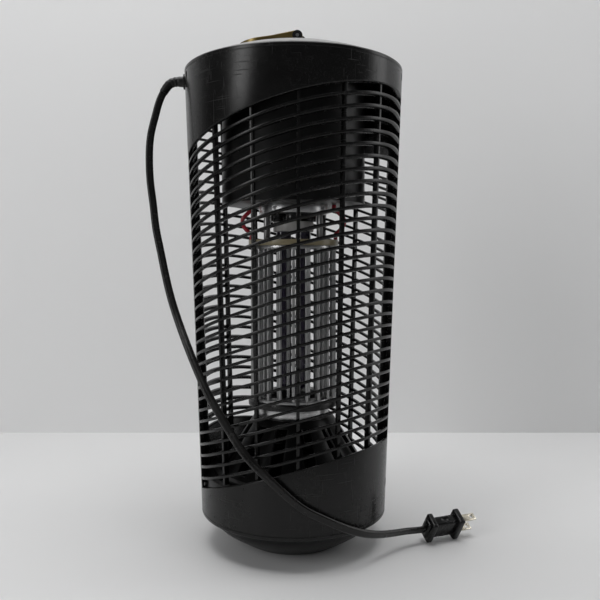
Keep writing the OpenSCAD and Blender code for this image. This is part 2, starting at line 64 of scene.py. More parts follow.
def turnedShape(bm, outline, steps):
    # turns an outline of (radius, height) about the upright axis
    verts = [bm.verts.new((r, 0, z)) for r, z in outline]
    edges = [bm.edges.new(pair) for pair in zip(verts, verts[1:])]
    bmesh.ops.spin(
        bm, geom=verts + edges, cent=(0, 0, 0), axis=(0, 0, 1), angle=2 * math.pi,
        steps=steps, use_merge=True)
    bmesh.ops.remove_doubles(bm, verts=bm.verts, dist=0.001)


def bevelled(bm, edges, radius, segments):
    return bmesh.ops.bevel(
        bm, geom=edges, offset=radius, offset_type="OFFSET", segments=segments, profile=0.5,
        affect="EDGES", material=-1, clamp_overlap=True)


def softenEdges(bm, radius, segments):
    # rounds every edge that turns by more than this angle
    bm.normal_update()
    limit = math.radians(35.0)
    bevelled(bm, [e for e in bm.edges if e.is_manifold and e.calc_face_angle(0) > limit],
            radius, segments)


def addBlock(bm, low, high, radius=0.0, segments=2):
    # a rounded block between two corners; returns its vertices
    made = bmesh.ops.create_cube(bm, size=1.0)["verts"]
    size = [b - a for a, b in zip(low, high)]
    middle = [(a + b) / 2 for a, b in zip(low, high)]
    bmesh.ops.scale(bm, vec=size, verts=made)
    bmesh.ops.translate(bm, vec=middle, verts=made)
    if radius:
        edges = list({e for v in made for e in v.link_edges})
        out = bevelled(bm, edges, radius, segments)
        made = list({v for f in out["faces"] for v in f.verts} | {v for v in made if v.is_valid})
    return made


def addRod(bm, low, high, radius, sides=20, edge=0.0):
    # an upright round bar from height low to height high on the axis
    made = bmesh.ops.create_cone(
        bm, cap_ends=True, segments=sides, radius1=radius, radius2=radius,
        depth=high - low)["verts"]
    bmesh.ops.translate(bm, vec=(0, 0, (low + high) / 2), verts=made)
    if edge:
        rims = [e for e in {e for v in made for e in v.link_edges}
                if abs(e.verts[0].co.z - e.verts[1].co.z) < 1e-6]
        out = bevelled(bm, rims, edge, 2)
        made = list({v for f in out["faces"] for v in f.verts} | {v for v in made if v.is_valid})
    return made


def turnVerts(bm, verts, degrees, axis="Z"):
    bmesh.ops.rotate(
        bm, cent=(0, 0, 0), matrix=Matrix.Rotation(math.radians(degrees), 3, axis), verts=verts)


def placeVerts(bm, verts, turn, move=(0, 0, 0)):
    bmesh.ops.translate(bm, vec=move, verts=verts)
    turnVerts(bm, verts, turn)


def addMesh(bm, mesh, place=None):
    before = set(bm.verts)
    bm.from_mesh(mesh)
    if place is not None:
        bmesh.ops.transform(bm, matrix=place, verts=[v for v in bm.verts if v not in before])


def storedMesh(bm, name):
    # keeps the shape as a mesh and frees the working copy
    mesh = bpy.data.meshes.new(name)
    bm.to_mesh(mesh)
    bm.free()
    return mesh


def nodeCopy(nodeName, softness, segments=2):
    # the node's own shape in millimetres, merged, with its edges softened
    bm = bmesh.new()
    bm.from_mesh(nodes[nodeName].data)
    bmesh.ops.scale(bm, vec=(1 / mm,) * 3, verts=bm.verts)
    bmesh.ops.remove_doubles(bm, verts=bm.verts, dist=0.002)
    bmesh.ops.dissolve_limit(
        bm, angle_limit=math.radians(1.0), verts=bm.verts, edges=bm.edges,
        use_dissolve_boundaries=False)
    softenEdges(bm, softness, segments)
    return bm


def makePiece(bm, name, body, finish, replaced=(), sharp=38.0):
    # takes a shape in millimetres and makes the finished piece in the frame's metres
    bmesh.ops.recalc_face_normals(bm, faces=bm.faces)
    bmesh.ops.scale(bm, vec=(mm,) * 3, verts=bm.verts)
    mesh = storedMesh(bm, name)
    mesh.polygons.foreach_set("use_smooth", [True] * len(mesh.polygons))
    mesh.set_sharp_from_angle(angle=math.radians(sharp))
    mesh.materials.append(finish)
    piece = bpy.data.objects.new(name, mesh)
    bpy.context.scene.collection.objects.link(piece)
    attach(piece, body)
    if replaced:
        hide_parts(*replaced)
    return piece


def bored(bm, cutter):
    # the shape less the cutter, both in millimetres
    pair = []
    for label, shape in (("stock", bm), ("cutter", cutter)):
        bmesh.ops.recalc_face_normals(shape, faces=shape.faces)
        item = bpy.data.objects.new(label, storedMesh(shape, label))
        bpy.context.scene.collection.objects.link(item)
        pair.append(item)
    cut = pair[0].modifiers.new("bore", "BOOLEAN")
    cut.object = pair[1]
    cut.operation = "DIFFERENCE"
    cut.solver = "EXACT"
    bpy.context.view_layer.update()
    view = bpy.context.evaluated_depsgraph_get()
    result = bmesh.new()
    result.from_mesh(bpy.data.meshes.new_from_object(pair[0].evaluated_get(view)))
    for item in pair:
        bpy.data.objects.remove(item)
    return result


# ---- finishes ----
class Value:
    # one output of a node tree, so that masks can be written as plain sums and products
    def __init__(self, tree, socket):
        self.tree, self.socket = tree, socket

    def __add__(self, other):
        return mathNode(self.tree, "ADD", self, other)

    def __radd__(self, other):
        return mathNode(self.tree, "ADD", other, self)

    def __sub__(self, other):
        return mathNode(self.tree, "SUBTRACT", self, other)

    def __mul__(self, other):
        return mathNode(self.tree, "MULTIPLY", self, other)

    def above(self, edge, softness):
        # 0 under the edge, 1 over it, with a soft step between
        return (self - edge) * (1.0 / softness) + 0.5


def feed(tree, socket, item):
    if isinstance(item, Value):
        tree.links.new(item.socket, socket)
    else:
        socket.default_value = item


def mathNode(tree, operation, first, second):
    node = tree.nodes.new("ShaderNodeMath")
    node.operation = operation
    feed(tree, node.inputs[0], first)
    feed(tree, node.inputs[1], second)
    return Value(tree, node.outputs[0])


class Finish:
    def __init__(self, name, **constants):
        self.material = bpy.data.materials.new(name)
        self.material.use_nodes = True
        self.tree = self.material.node_tree
        self.shader = self.tree.nodes["Principled BSDF"]
        for key, value in constants.items():
            self.shader.inputs[key.replace("_", " ")].default_value = value

    def node(self, kind, settings=None, sockets=None, output=0):
        made = self.tree.nodes.new("ShaderNode" + kind)
        for key, value in (settings or {}).items():
            setattr(made, key, value)
        for key, value in (sockets or {}).items():
            feed(self.tree, made.inputs[key], value)
        return Value(self.tree, made.outputs[output])

    def placed(self, stretch, turn):
        where = self.node("TexCoord", output="Object")
        return self.node("Mapping", None, {"Vector": where, "Scale": stretch, "Rotation": turn})

    def noise(self, scale, detail=2.0, rough=0.5, stretch=(1, 1, 1), turn=(0, 0, 0)):
        # scale is in features a metre
        return self.node(
            "TexNoise", {"noise_dimensions": "3D"},
            {"Vector": self.placed(stretch, turn), "Scale": scale, "Detail": detail,
             "Roughness": rough})

    def clamped(self, item):
        return self.node("Clamp", None, {"Value": item})

    def blend(self, mask, first, second):
        # a colour between two others
        return self.node(
            "Mix", {"data_type": "RGBA", "blend_type": "MIX", "clamp_factor": True},
            {0: mask, 6: first, 7: second}, output=2)

    def scratches(self, scale, stretch, edge, turn):
        # thin sparse lines, long where the stretch is small
        lines = self.noise(scale, 1.0, 0.4, stretch, turn).above(edge, 0.03)
        where = self.noise(14.0, 2.0, 0.5).above(0.55, 0.12)
        return self.clamped(lines) * self.clamped(where)

    def colour(self, item):
        feed(self.tree, self.shader.inputs["Base Color"], item)

    def rough(self, item):
        feed(self.tree, self.shader.inputs["Roughness"], self.clamped(item))

    def bumped(self, height, distance):
        bump = self.node("Bump", None, {"Height": height, "Distance": distance, "Strength": 1.0})
        feed(self.tree, self.shader.inputs["Normal"], bump)


def grey(level, warm=0.0):
    return (level * (1 + warm), level, level * (1 - warm), 1)


def mouldedPlastic(name, dark, light, gloss, grain, dusty=0.0, worn=0.0, **constants):
    # moulded plastic: fine grain, patches of sheen, dust and fine scratches
    f = Finish(name, **constants)
    patches = f.noise(22.0, 3.0, 0.6)
    stipple = f.noise(1500.0, 1.0, 0.5)
    hazy = f.noise(240.0, 3.0, 0.6)
    base = f.blend(f.clamped(patches.above(0.5, 0.35)), dark, light)
    specks = f.clamped(f.noise(1600.0, 0.0, 0.5).above(0.72, 0.06))
    dust = f.clamped(f.noise(9.0, 2.0, 0.55).above(0.56, 0.2))
    across = f.scratches(34.0, (1, 1, 40), 0.72, (0.25, 0.1, 0))
    down = f.scratches(38.0, (34, 34, 0.6), 0.72, (0.12, 0.2, 0.3))
    marks = f.clamped(across + down)
    pale = tuple(min(1.0, 0.06 + 1.4 * c) for c in light[:3]) + (1,)
    haze = hazy.above(0.62, 0.3) * (0.12 * dusty)
    mask = f.clamped(specks * dust * dusty + marks * worn + haze)
    f.colour(f.blend(mask, base, pale))
    f.rough(gloss + (patches - 0.5) * 0.16 + (hazy - 0.5) * 0.12 + marks * 0.2)
    f.bumped(stipple * grain + marks * -0.5 + hazy * (0.25 * grain), 0.00012)
    return f.material


def plainMetal(name, colour, shade, gloss, stretch):
    # drawn or brushed metal, with lines along the direction that is stretched least
    f = Finish(name, Metallic=1.0)
    lines = f.noise(90.0, 3.0, 0.6, stretch)
    patches = f.noise(45.0, 3.0, 0.6)
    spots = f.clamped(f.noise(320.0, 2.0, 0.5).above(0.70, 0.08))
    f.colour(f.blend(f.clamped(patches.above(0.52, 0.3) * 0.6 + spots * 0.4), colour, shade))
    f.rough(gloss + (lines - 0.5) * 0.2 + spots * 0.15)
    f.bumped(lines, 0.00001)
    return f.material


finishes = {
    "body": mouldedPlastic("bodyPlastic", grey(0.0022, 0.05), grey(0.0042, 0.05), 0.25, 0.3,
                           0.35, 0.25, Specular_IOR_Level=0.27),
    "cover": mouldedPlastic("coverPlastic", grey(0.22, 0.01), grey(0.26, 0.01), 0.42, 0.3,
                            0.1, 0.05),
    "inner": mouldedPlastic("innerPlastic", grey(0.0016), grey(0.003), 0.34, 0.3, 0.2, 0.1,
                            Specular_IOR_Level=0.22),
    "tray": mouldedPlastic("trayPlastic", grey(0.002), grey(0.004), 0.34, 0.4, 0.2, 0.2,
                           Specular_IOR_Level=0.22),
    "socket": mouldedPlastic("socketPlastic", grey(0.006), grey(0.009), 0.16, 0.05, 0.1, 0.05,
                             Coat_Weight=0.5, Coat_Roughness=0.08),
    "white": mouldedPlastic("whitePlastic", grey(0.46, 0.02), grey(0.56, 0.02), 0.38, 0.15,
                            0.1, 0.05),
    "cream": mouldedPlastic("insulatorCream", (0.26, 0.22, 0.13, 1), (0.34, 0.29, 0.18, 1),
                            0.3, 0.1, 0.15, 0.05),
    "dark": mouldedPlastic("insulatorDark", grey(0.008), grey(0.013), 0.3, 0.15, 0.2, 0.1),
    "case": mouldedPlastic("capacitorCase", (0.02, 0.04, 0.18, 1), (0.03, 0.06, 0.24, 1),
                           0.32, 0.1),
    "sleeve": mouldedPlastic("redSleeve", (0.35, 0.010, 0.022, 1), (0.5, 0.02, 0.035, 1),
                             0.28, 0.1, Coat_Weight=0.3),
    "screw": plainMetal("screwSteel", grey(0.36), grey(0.22), 0.34, (1, 1, 4)),
    "plate": plainMetal("plateAluminium", grey(0.72), grey(0.55), 0.30, (1, 1, 14)),
    "grid": plainMetal("gridSteel", grey(0.50), grey(0.36), 0.30, (3, 3, 0.03)),
    "blade": plainMetal("bladeNickel", (0.72, 0.68, 0.58, 1), (0.5, 0.45, 0.34, 1),
                        0.26, (1, 8, 8)),
    "iron": plainMetal("coreIron", grey(0.30), grey(0.18, 0.15), 0.5, (1, 40, 1)),
    "copper": plainMetal("coilCopper", (0.80, 0.40, 0.20, 1), (0.62, 0.26, 0.12, 1),
                         0.3, (1, 1, 30)),
}


def strapFinish():
    # the handle's dull yellow strap
    f = Finish("handleStrap", Metallic=0.85, Coat_Weight=0.3, Coat_Roughness=0.2)
    patches = f.noise(60.0, 3.0, 0.6)
    lines = f.noise(160.0, 2.0, 0.5, (1, 1, 8))
    brass, tarnish = (0.20, 0.145, 0.045, 1), (0.12, 0.085, 0.028, 1)
    f.colour(f.blend(f.clamped(patches.above(0.5, 0.4)), brass, tarnish))
    f.rough(0.36 + (lines - 0.5) * 0.3)
    f.bumped(lines, 0.00004)
    return f.material


def glassFinish():
    # filter glass of a blacklight tube: near black with a violet cast and a sharp gloss
    f = Finish("lampGlass", Roughness=0.07, Coat_Weight=1.0, Coat_Roughness=0.03, IOR=1.5)
    haze = f.noise(38.0, 3.0, 0.6)
    clear, hazy = (0.012, 0.007, 0.024, 1), (0.028, 0.018, 0.050, 1)
    f.colour(f.blend(f.clamped(haze.above(0.52, 0.4)), clear, hazy))
    f.rough(0.08 + haze * 0.12)
    f.bumped(haze, 0.00004)
    return f.material


def cordFinish(name, dark, light, gloss):
    # soft black vinyl and rubber, rubbed here and there
    f = Finish(name, Specular_IOR_Level=0.32)
    grain = f.noise(900.0, 2.0, 0.5)
    patches = f.noise(45.0, 3.0, 0.6)
    rubs = f.clamped(f.noise(190.0, 2.0, 0.5).above(0.66, 0.08))
    f.colour(f.blend(f.clamped(patches.above(0.5, 0.4) + rubs * 0.5), dark, light))
    f.rough(gloss + (patches - 0.5) * 0.2 + rubs * 0.12)
    f.bumped(grain + rubs * 0.4, 0.00005)
    return f.material


finishes["strap"] = strapFinish()
finishes["glass"] = glassFinish()
finishes["cord"] = cordFinish("cordJacket", grey(0.003, 0.08), grey(0.006, 0.08), 0.26)
finishes["gland"] = cordFinish("glandRubber", grey(0.003), grey(0.005), 0.36)
finishes["plug"] = cordFinish("plugRubber", grey(0.003), grey(0.006), 0.28)
print("finishes made:", len(finishes))


# ---- cord, strain relief, gland and plug ----
cord = {"width": 6.6, "thick": 3.8, "spanSteps": 4, "glandFace": 96.7275, "glandTurn": 2.5,
        "glandHeight": 400.0, "plugPlace": (112.3, -21.0, 13.2), "plugTurn": 22.0,
        "plugRoll": -57.0, "twistEnd": 10.0, "twistLength": 60.0}


def offGland(s):
    turn = math.radians(cord["glandTurn"])
    r = cord["glandFace"] + s
    return (-r * math.cos(turn), -r * math.sin(turn), cord["glandHeight"])


def offPlug(s):
    turn = math.radians(cord["plugTurn"])
    x, y, z = cord["plugPlace"]
    return (x - s * math.cos(turn), y - s * math.sin(turn), z)


cordRoute = [
    offGland(0), offGland(3), offGland(6), (-109.5, -5, 397), (-116.5, -6, 385), (-121, -6, 370),
    (-125, -7, 352), (-126, -8, 334), (-125, -9, 313), (-122, -11, 292), (-119, -14, 271),
    (-114, -18, 250), (-109, -23, 230), (-103, -29, 210), (-95, -37, 190), (-86, -47, 171),
    (-76, -56, 151), (-67, -63, 135), (-59, -68, 123), (-50, -73, 110), (-42, -78, 99),
    (-33, -82, 89), (-21, -85, 78), (-3, -87, 62), (9, -87, 53), (21, -84, 46),
    (37, -78, 37), (53, -68, 28.5), (68, -55, 22), (82, -41, 17.5), (94.5, -29.6, 14.6),
    offPlug(5.6), offPlug(2.8), offPlug(0)]


def smoothRoute(points, steps):
    # the same curve through the points as the solids follow
    p = [Vector(q) for q in points]
    last = len(p) - 1
    out = []
    for i in range(last):
        a, b, c, d = p[max(0, i - 1)], p[i], p[i + 1], p[min(last, i + 2)]
        for k in range(steps):
            t = k / steps
            out.append(0.5 * (2 * b + (c - a) * t + (2 * a - 5 * b + 4 * c - d) * t * t
                              + (3 * b - a - 3 * c + d) * t ** 3))
    return out + [p[last]]


def routeLengths(points):
    along = [0.0]
    for a, b in zip(points, points[1:]):
        along.append(along[-1] + (b - a).length)
    return along


def forward(i):
    return Vector((0, -1, 0))


def sweptTube(bm, points, section, facing=forward):
    # section(i) is the outline at point i, as (outward, sideways) pairs; facing(i) is outward
    rings = []
    last = len(points) - 1
    for i, here in enumerate(points):
        ahead = (points[min(last, i + 1)] - points[max(0, i - 1)]).normalized()
        out = facing(i)
        out = (out - ahead * out.dot(ahead)).normalized()
        side = ahead.cross(out)
        rings.append([bm.verts.new(here + out * u + side * v) for u, v in section(i)])
    for a, b in zip(rings, rings[1:]):
        for k in range(len(a)):
            n = (k + 1) % len(a)
            bm.faces.new((a[k], a[n], b[n], b[k]))
    bm.faces.new(list(reversed(rings[0])))
    bm.faces.new(rings[-1])


def twinOutline():
    # two round conductors side by side, with a shallow groove between them
    r, c = cord["thick"] / 2, cord["width"] / 2 - cord["thick"] / 2
    outline = []
    for side, first in ((1, -112), (-1, 68)):
        for k in range(9):
            angle = math.radians(first + 28 * k)
            outline.append((r * math.sin(angle), side * c + r * math.cos(angle)))
    return outline


cordPoints = smoothRoute(cordRoute, cord["spanSteps"])
cordAlong = routeLengths(cordPoints)
plugFrame = (Matrix.Translation(cord["plugPlace"])
             @ Matrix.Rotation(math.radians(cord["plugTurn"]), 4, "Z")
             @ Matrix.Rotation(math.radians(cord["plugRoll"]), 4, "X"))


def cordFacing(i):
    # the flat side faces forward, and turns with the plug over the last stretch
    begin = cordAlong[-1] - cord["twistEnd"] - cord["twistLength"]
    share = max(0.0, min(1.0, (cordAlong[i] - begin) / cord["twistLength"]))
    return Vector((0, -1, 0)).lerp(plugFrame.to_3x3() @ Vector((0, 0, -1)), share)


def alongRoute(s):
    # the point of the cord this far from the gland
    i = max(k for k, value in enumerate(cordAlong[:-1]) if value <= s)
    share = (s - cordAlong[i]) / (cordAlong[i + 1] - cordAlong[i])
    return cordPoints[i].lerp(cordPoints[i + 1], share)


relief = {"length": 22.0, "start": 4.7, "tip": 3.65, "rings": 27, "groove": 0.6, "sides": 24}


def reliefSection(i):
    # a round that tapers to the tip, grooved between its ends
    share = i / relief["rings"]
    r = relief["start"] + (relief["tip"] - relief["start"]) * share
    if i % 4 in (2, 3) and 3 < i < relief["rings"] - 3:
        r -= relief["groove"] * (1 - share)
    return circleOutline(r, relief["sides"])


bm = bmesh.new()
sweptTube(bm, cordPoints, lambda i: twinOutline(), cordFacing)
powerCord = makePiece(bm, "powerCord", "housing", finishes["cord"],
                      ["power_cord"], 60)

bm = bmesh.new()
reliefPath = [alongRoute(relief["length"] * i / relief["rings"])
              for i in range(relief["rings"] + 1)]
sweptTube(bm, reliefPath, reliefSection)
strainRelief = makePiece(bm, "strainRelief", "housing", finishes["gland"],
                         ["strain_relief"], 50)

bm = nodeCopy("cord_gland", 0.5, 3)
cordGland = makePiece(bm, "cordGland", "housing", finishes["gland"],
                      ["cord_gland"])

plug = {"length": 34.0, "width": 23.5, "height": 15.0, "waist": 3.0, "flange": 6.0,
        "tail": (0, 4, 3.5), "rear": (2, 7.5, 0.5), "edge": 1.7,
        "recess": (4.4, 1.5, 2.7), "recessAhead": 0.6, "recessOut": 0.3}


def plugShape():
    # two flanges with a waist between them, and an oval finger recess on each narrow side
    l, e = plug["length"], plug["edge"]

    def slab(bm, x0, x1, inset):
        w, h = plug["width"] / 2 - inset, plug["height"] / 2 - inset
        return addBlock(bm, (x0, -w, -h), (x1, w, h), e, 4)

    bm = bmesh.new()
    slab(bm, 4, l - 3, plug["waist"])
    cutter = bmesh.new()
    away = plug["width"] / 2 - plug["waist"] + plug["recessOut"]
    for side in (-1, 1):
        made = bmesh.ops.create_uvsphere(
            cutter, u_segments=28, v_segments=14, radius=1.0)["verts"]
        bmesh.ops.scale(cutter, vec=plug["recess"], verts=made)
        bmesh.ops.translate(cutter, vec=(l / 2 + plug["recessAhead"], side * away, 0), verts=made)
    bm = bored(bm, cutter)
    slab(bm, *plug["tail"])
    slab(bm, *plug["rear"])
    slab(bm, l - plug["flange"], l, 0.0)
    bmesh.ops.transform(bm, matrix=plugFrame, verts=bm.verts)
    return bm


plugBody = makePiece(plugShape(), "plugBody", "housing", finishes["plug"],
                     ["plug_body"], 50)

bm = nodeCopy("plug_blades", 0.25)
plugBlades = makePiece(bm, "plugBlades", "housing", finishes["blade"],
                       ["plug_blades"])

cordPath = [[c * mm for c in p] for p in cordPoints]


# ---- half shells ----
shell = {
    "bottomR": 80.0, "topR": 95.4, "height": 382.0, "lift": 26.0, "wall": 3.6, "turn": 2.5,
    "windowTop": 357.0, "pitch": 9.7, "openings": 30, "slat": 2.5, "tilt": 17.9,
    "climb": -33.4, "slatEdge": 0.55, "bandEdge": 0.9, "steps": 60, "bandReach": 500,
    "ribStep": 23.5, "ribWidth": 2.6, "ribOutside": 1.8, "ribDepth": 6.3, "ribLow": 62.5,
    "ribHigh": 390.0, "flange": 3.0, "flangeDepth": 8.0, "gap": 0.1,
    "seamWidth": 20.0, "seamRecess": 0.1, "seamSteps": 8, "seamBelow": 22.0, "seamAbove": 8.0,
    "groove": 0.3, "grooveAt": 3.2, "screwTurn": 75.0, "screwLow": 53.0, "screwHigh": 400.0,
    "wellR": 3.5, "wellDepth": 1.75}
flare = (shell["topR"] - shell["bottomR"]) / shell["height"]
climbAngle = math.radians(shell["climb"])
rise = math.tan(math.radians(shell["tilt"]))
unrolledR = 200.0
shellTop = shell["lift"] + shell["height"]


def shellRadius(z):
    return shell["bottomR"] + flare * (z - shell["lift"])


def ontoSlope(v, level):
    # takes a point of the level ring to the tilted plane that meets the axis at this level
    angle = math.atan2(v.y, v.x)
    inset, h = unrolledR - math.hypot(v.x, v.y), v.z
    slope = rise * math.cos(angle - climbAngle)
    r = (shell["bottomR"] + flare * (level + h - shell["lift"]) - inset) / (1 - flare * slope)
    return Vector((r * math.cos(angle), r * math.sin(angle), level + h + slope * r))


def ontoRim(v, z):
    # takes a point of the level ring to the cone at a height
    angle = math.atan2(v.y, v.x)
    r = shellRadius(z) - (unrolledR - math.hypot(v.x, v.y))
    return Vector((r * math.cos(angle), r * math.sin(angle), z))


def ringPart(bm, outline, turn, sweep, steps):
    # an outline of (inset, height) turned about the axis from one angle through another
    before = set(bm.verts)
    verts = [bm.verts.new((unrolledR - inset, 0, h)) for inset, h in outline]
    edges = [bm.edges.new((verts[i], verts[(i + 1) % len(verts)])) for i in range(len(verts))]
    start = math.radians(shell["turn"] + turn)
    bmesh.ops.rotate(bm, cent=(0, 0, 0), matrix=Matrix.Rotation(start, 3, "Z"), verts=verts)
    bmesh.ops.spin(bm, geom=verts + edges, cent=(0, 0, 0), axis=(0, 0, 1),
                   angle=math.radians(sweep), steps=steps, use_merge=False)
    made = [v for v in bm.verts if v not in before]
    rim = [e for e in {e for v in made for e in v.link_edges} if e.is_boundary]
    bmesh.ops.holes_fill(bm, edges=rim, sides=0)
    return made


def halfRing(bm, outline):
    gap = shell["gap"]
    return ringPart(bm, outline, gap - 180, 180 - 2 * gap, shell["steps"])


def roundedOutline(width, low, high, radius, parts=2):
    corners = [(width - radius, low + radius, -90), (width - radius, high - radius, 0),
               (radius, high - radius, 90), (radius, low + radius, 180)]
    return [(x + radius * math.cos(math.radians(start + 90 * k / parts)),
             z + radius * math.sin(math.radians(start + 90 * k / parts)))
            for x, z, start in corners for k in range(parts + 1)]


def slats(bm):
    outline = roundedOutline(shell["wall"], -shell["slat"], 0.0, shell["slatEdge"])
    for i in range(1, shell["openings"]):
        made = halfRing(bm, outline)
        level = shell["windowTop"] - i * shell["pitch"]
        for v in made:
            v.co = ontoSlope(v.co, level)


def band(level, rimHeight, far):
    # a plain band between the sloping edge and a rim; far marks the outline's rim side
    bm = bmesh.new()
    w, e, step, deep = shell["wall"], shell["bandEdge"], shell["grooveAt"], shell["groove"]
    sign = 1 if far > 0 else -1
    quarter = [math.radians(30 * k) for k in range(4)]
    outer = [(e - e * math.cos(a), sign * (e - e * math.sin(a))) for a in quarter]
    outline = list(reversed(outer))
    outline += [(0.0, far - sign * (step + 0.5)), (deep, far - sign * (step + 0.2)),
                (deep, far - sign * (step - 0.2)), (0.0, far - sign * (step - 0.5))]
    outline += [(i, far - h) for i, h in outer]
    outline += [(w - 0.5, far), (w, far - sign * 0.5), (w, sign * 0.5), (w - 0.5, 0.0)]
    made = halfRing(bm, outline)
    half = abs(far) / 2
    for v in made:
        if abs(v.co.z) > half:
            v.co = ontoRim(v.co, rimHeight + v.co.z - far)
        else:
            v.co = ontoSlope(v.co, level)
    return bm


def screwPlaces():
    # the turn and height of each screw through the shells
    for half in (0, 180):
        for side in (-1, 1):
            for z in (shell["screwLow"], shell["screwHigh"]):
                yield half + shell["turn"] + side * shell["screwTurn"], z


def wellCutters():
    cutter = bmesh.new()
    radius, length = shell["wellR"], 8.0
    for turn, z in screwPlaces():
        made = bmesh.ops.create_cone(cutter, cap_ends=True, segments=32, radius1=radius,
                                     radius2=radius, depth=length)["verts"]
        turnVerts(cutter, made, 90, "X")
        out = shellRadius(z) + length / 2 - shell["wellDepth"]
        placeVerts(cutter, made, turn, (0, -out, z))
    return cutter


def uprights(bm):
    # ribs behind the slats and the flange along each seam
    half, wide, gap = shell["ribWidth"] / 2, shell["flange"], shell["gap"]
    rib = (shell["ribOutside"], shell["ribDepth"])
    flange = (shell["seamRecess"], shell["flangeDepth"])
    bars = [(i * shell["ribStep"], -half, half) + rib for i in range(-2, 3)]
    bars += [(-90, gap, wide) + flange, (90, -wide, -gap) + flange]
    for turn, left, right, outside, depth in bars:
        made = addBlock(
            bm, (left, outside, shell["ribLow"]), (right, depth, shell["ribHigh"]), 0.4)
        centre = math.radians(shell["turn"] - 90 + turn)
        along = Vector((math.cos(centre), math.sin(centre), 0))
        across = Vector((-along.y, along.x, 0))
        for v in made:
            out = shellRadius(v.co.z) - v.co.y
            reach = math.sqrt(max(0.0, out * out - v.co.x ** 2))
            v.co = along * reach + across * v.co.x + Vector((0, 0, v.co.z))


def seamSkins(bm):
    # the curved bar along each seam that ties the slats together, a little behind their edges
    low, high = shell["lift"] + shell["seamAbove"], shellTop - shell["seamBelow"]
    outside, inside = shell["seamRecess"], shell["wall"] - 0.1
    outline = [(outside, low), (inside, low), (inside, high), (outside, high)]
    reach = math.degrees(shell["seamWidth"] / shell["topR"])
    for turn in (shell["gap"] - 180, -shell["gap"] - reach):
        for v in ringPart(bm, outline, turn, reach, shell["seamSteps"]):
            inset = unrolledR - math.hypot(v.co.x, v.co.y)
            scale = (shellRadius(v.co.z) - inset) / (unrolledR - inset)
            v.co = Vector((v.co.x * scale, v.co.y * scale, v.co.z))


def halfShell(turn):
    bm = bmesh.new()
    windowLow = shell["windowTop"] - shell["openings"] * shell["pitch"]
    for level, rim, far in ((shell["windowTop"] - shell["slat"], shellTop, shell["bandReach"]),
                            (windowLow, shell["lift"], -shell["bandReach"])):
        addMesh(bm, storedMesh(bored(band(level, rim, far), wellCutters()), "band"))
    slats(bm)
    uprights(bm)
    seamSkins(bm)
    turnVerts(bm, bm.verts, turn)
    return bm


for turn, nodeName, name in ((0, "front_shell", "frontShell"), (180, "rear_shell", "rearShell")):
    makePiece(halfShell(turn), name, "housing", finishes["body"], [nodeName])


def panHead(bm, radius, height):
    # domed head, seat at 0 and face up
    dome = [(radius * math.sin(a), height * (0.45 + 0.55 * math.cos(a)))
            for a in (0.4, 0.8, 1.2, 1.5)]
    turnedShape(bm, [(0, height)] + dome + [(radius, 0.0), (0, 0.0)], 28)


def crossCut(radius, height):
    cutter = bmesh.new()
    reach, half = radius * 0.62, 0.42
    for turn in (0, 90):
        made = addBlock(cutter, (-reach, -half, height * 0.35), (reach, half, height + 1))
        turnVerts(cutter, made, turn)
    return cutter


def screwShape(radius, height, length):
    head = bmesh.new()
    panHead(head, radius, height)
    head = bored(head, crossCut(radius, height))
    made = bmesh.ops.create_cone(head, cap_ends=True, segments=20, radius1=1.0, radius2=1.4,
                                 depth=length)["verts"]
    bmesh.ops.translate(head, vec=(0, 0, -length / 2 + 0.1), verts=made)
    return storedMesh(head, "screw")


def manyScrews(mesh, places):
    # places are matrices that take +Z to the way the head faces
    bm = bmesh.new()
    for place in places:
        addMesh(bm, mesh, place)
    return bm


def outward(turn, radius, z, roll=0.0):
    # faces out from the axis at this turn from the front
    return (Matrix.Rotation(math.radians(turn), 4, "Z") @ Matrix.Translation((0, -radius, z))
            @ Matrix.Rotation(math.pi / 2, 4, "X") @ Matrix.Rotation(math.radians(roll), 4, "Z"))


smallScrew = screwShape(3.2, 1.6, 5.5)
seatDepth = 1.7
places = [outward(turn, shellRadius(z) - seatDepth, z, 20 * i)
          for i, (turn, z) in enumerate(screwPlaces())]
makePiece(manyScrews(smallScrew, places), "shellScrews", "housing",
          finishes["screw"], ["shell_screws"])
print("shells made")


# ---- cover and handle ----
cover = {"rise": 22.0, "edge": 1.4, "wall": 2.5, "screwCircle": 78.0, "rows": 30,
         "screwTurns": (45, 135, 225, 315), "padR": 5.0, "wellR": 3.6, "wellDepth": 2.6}
coverR = shell["topR"] - cover["edge"]
ballR = (coverR ** 2 + cover["rise"] ** 2) / (2 * cover["rise"])
ballZ = shellTop + cover["rise"] - ballR


def domeHeight(r, inset=0.0):
    return ballZ + math.sqrt((ballR - inset) ** 2 - r * r)


coverSeat = domeHeight(cover["screwCircle"]) - cover["wellDepth"]


def domeShape():
    bm = bmesh.new()
    outside = [coverR * math.sin(math.pi / 2 * i / cover["rows"]) * 0.992
               for i in range(cover["rows"] + 1)]
    inside = [(r * 0.965, domeHeight(r * 0.965, cover["wall"])) for r in reversed(outside)]
    outline = [(r, domeHeight(r)) for r in outside]
    outline += [(coverR - 0.2, shellTop + 0.7), (coverR - 0.1, shellTop)]
    outline += [(coverR - 2.6, shellTop)]
    outline += [(r, z) for r, z in inside if z > shellTop]
    turnedShape(bm, outline, 144)
    padTop = domeHeight(cover["screwCircle"] + cover["padR"]) - 1.3
    for turn in cover["screwTurns"]:
        made = addRod(bm, shellTop, padTop, cover["padR"], 28)
        placeVerts(bm, made, turn, (cover["screwCircle"], 0, 0))
    return bm


def coverWells():
    cutter = bmesh.new()
    for turn in cover["screwTurns"]:
        made = addRod(cutter, coverSeat, coverSeat + 12, cover["wellR"], 32)
        placeVerts(cutter, made, turn, (cover["screwCircle"], 0, 0))
    return cutter


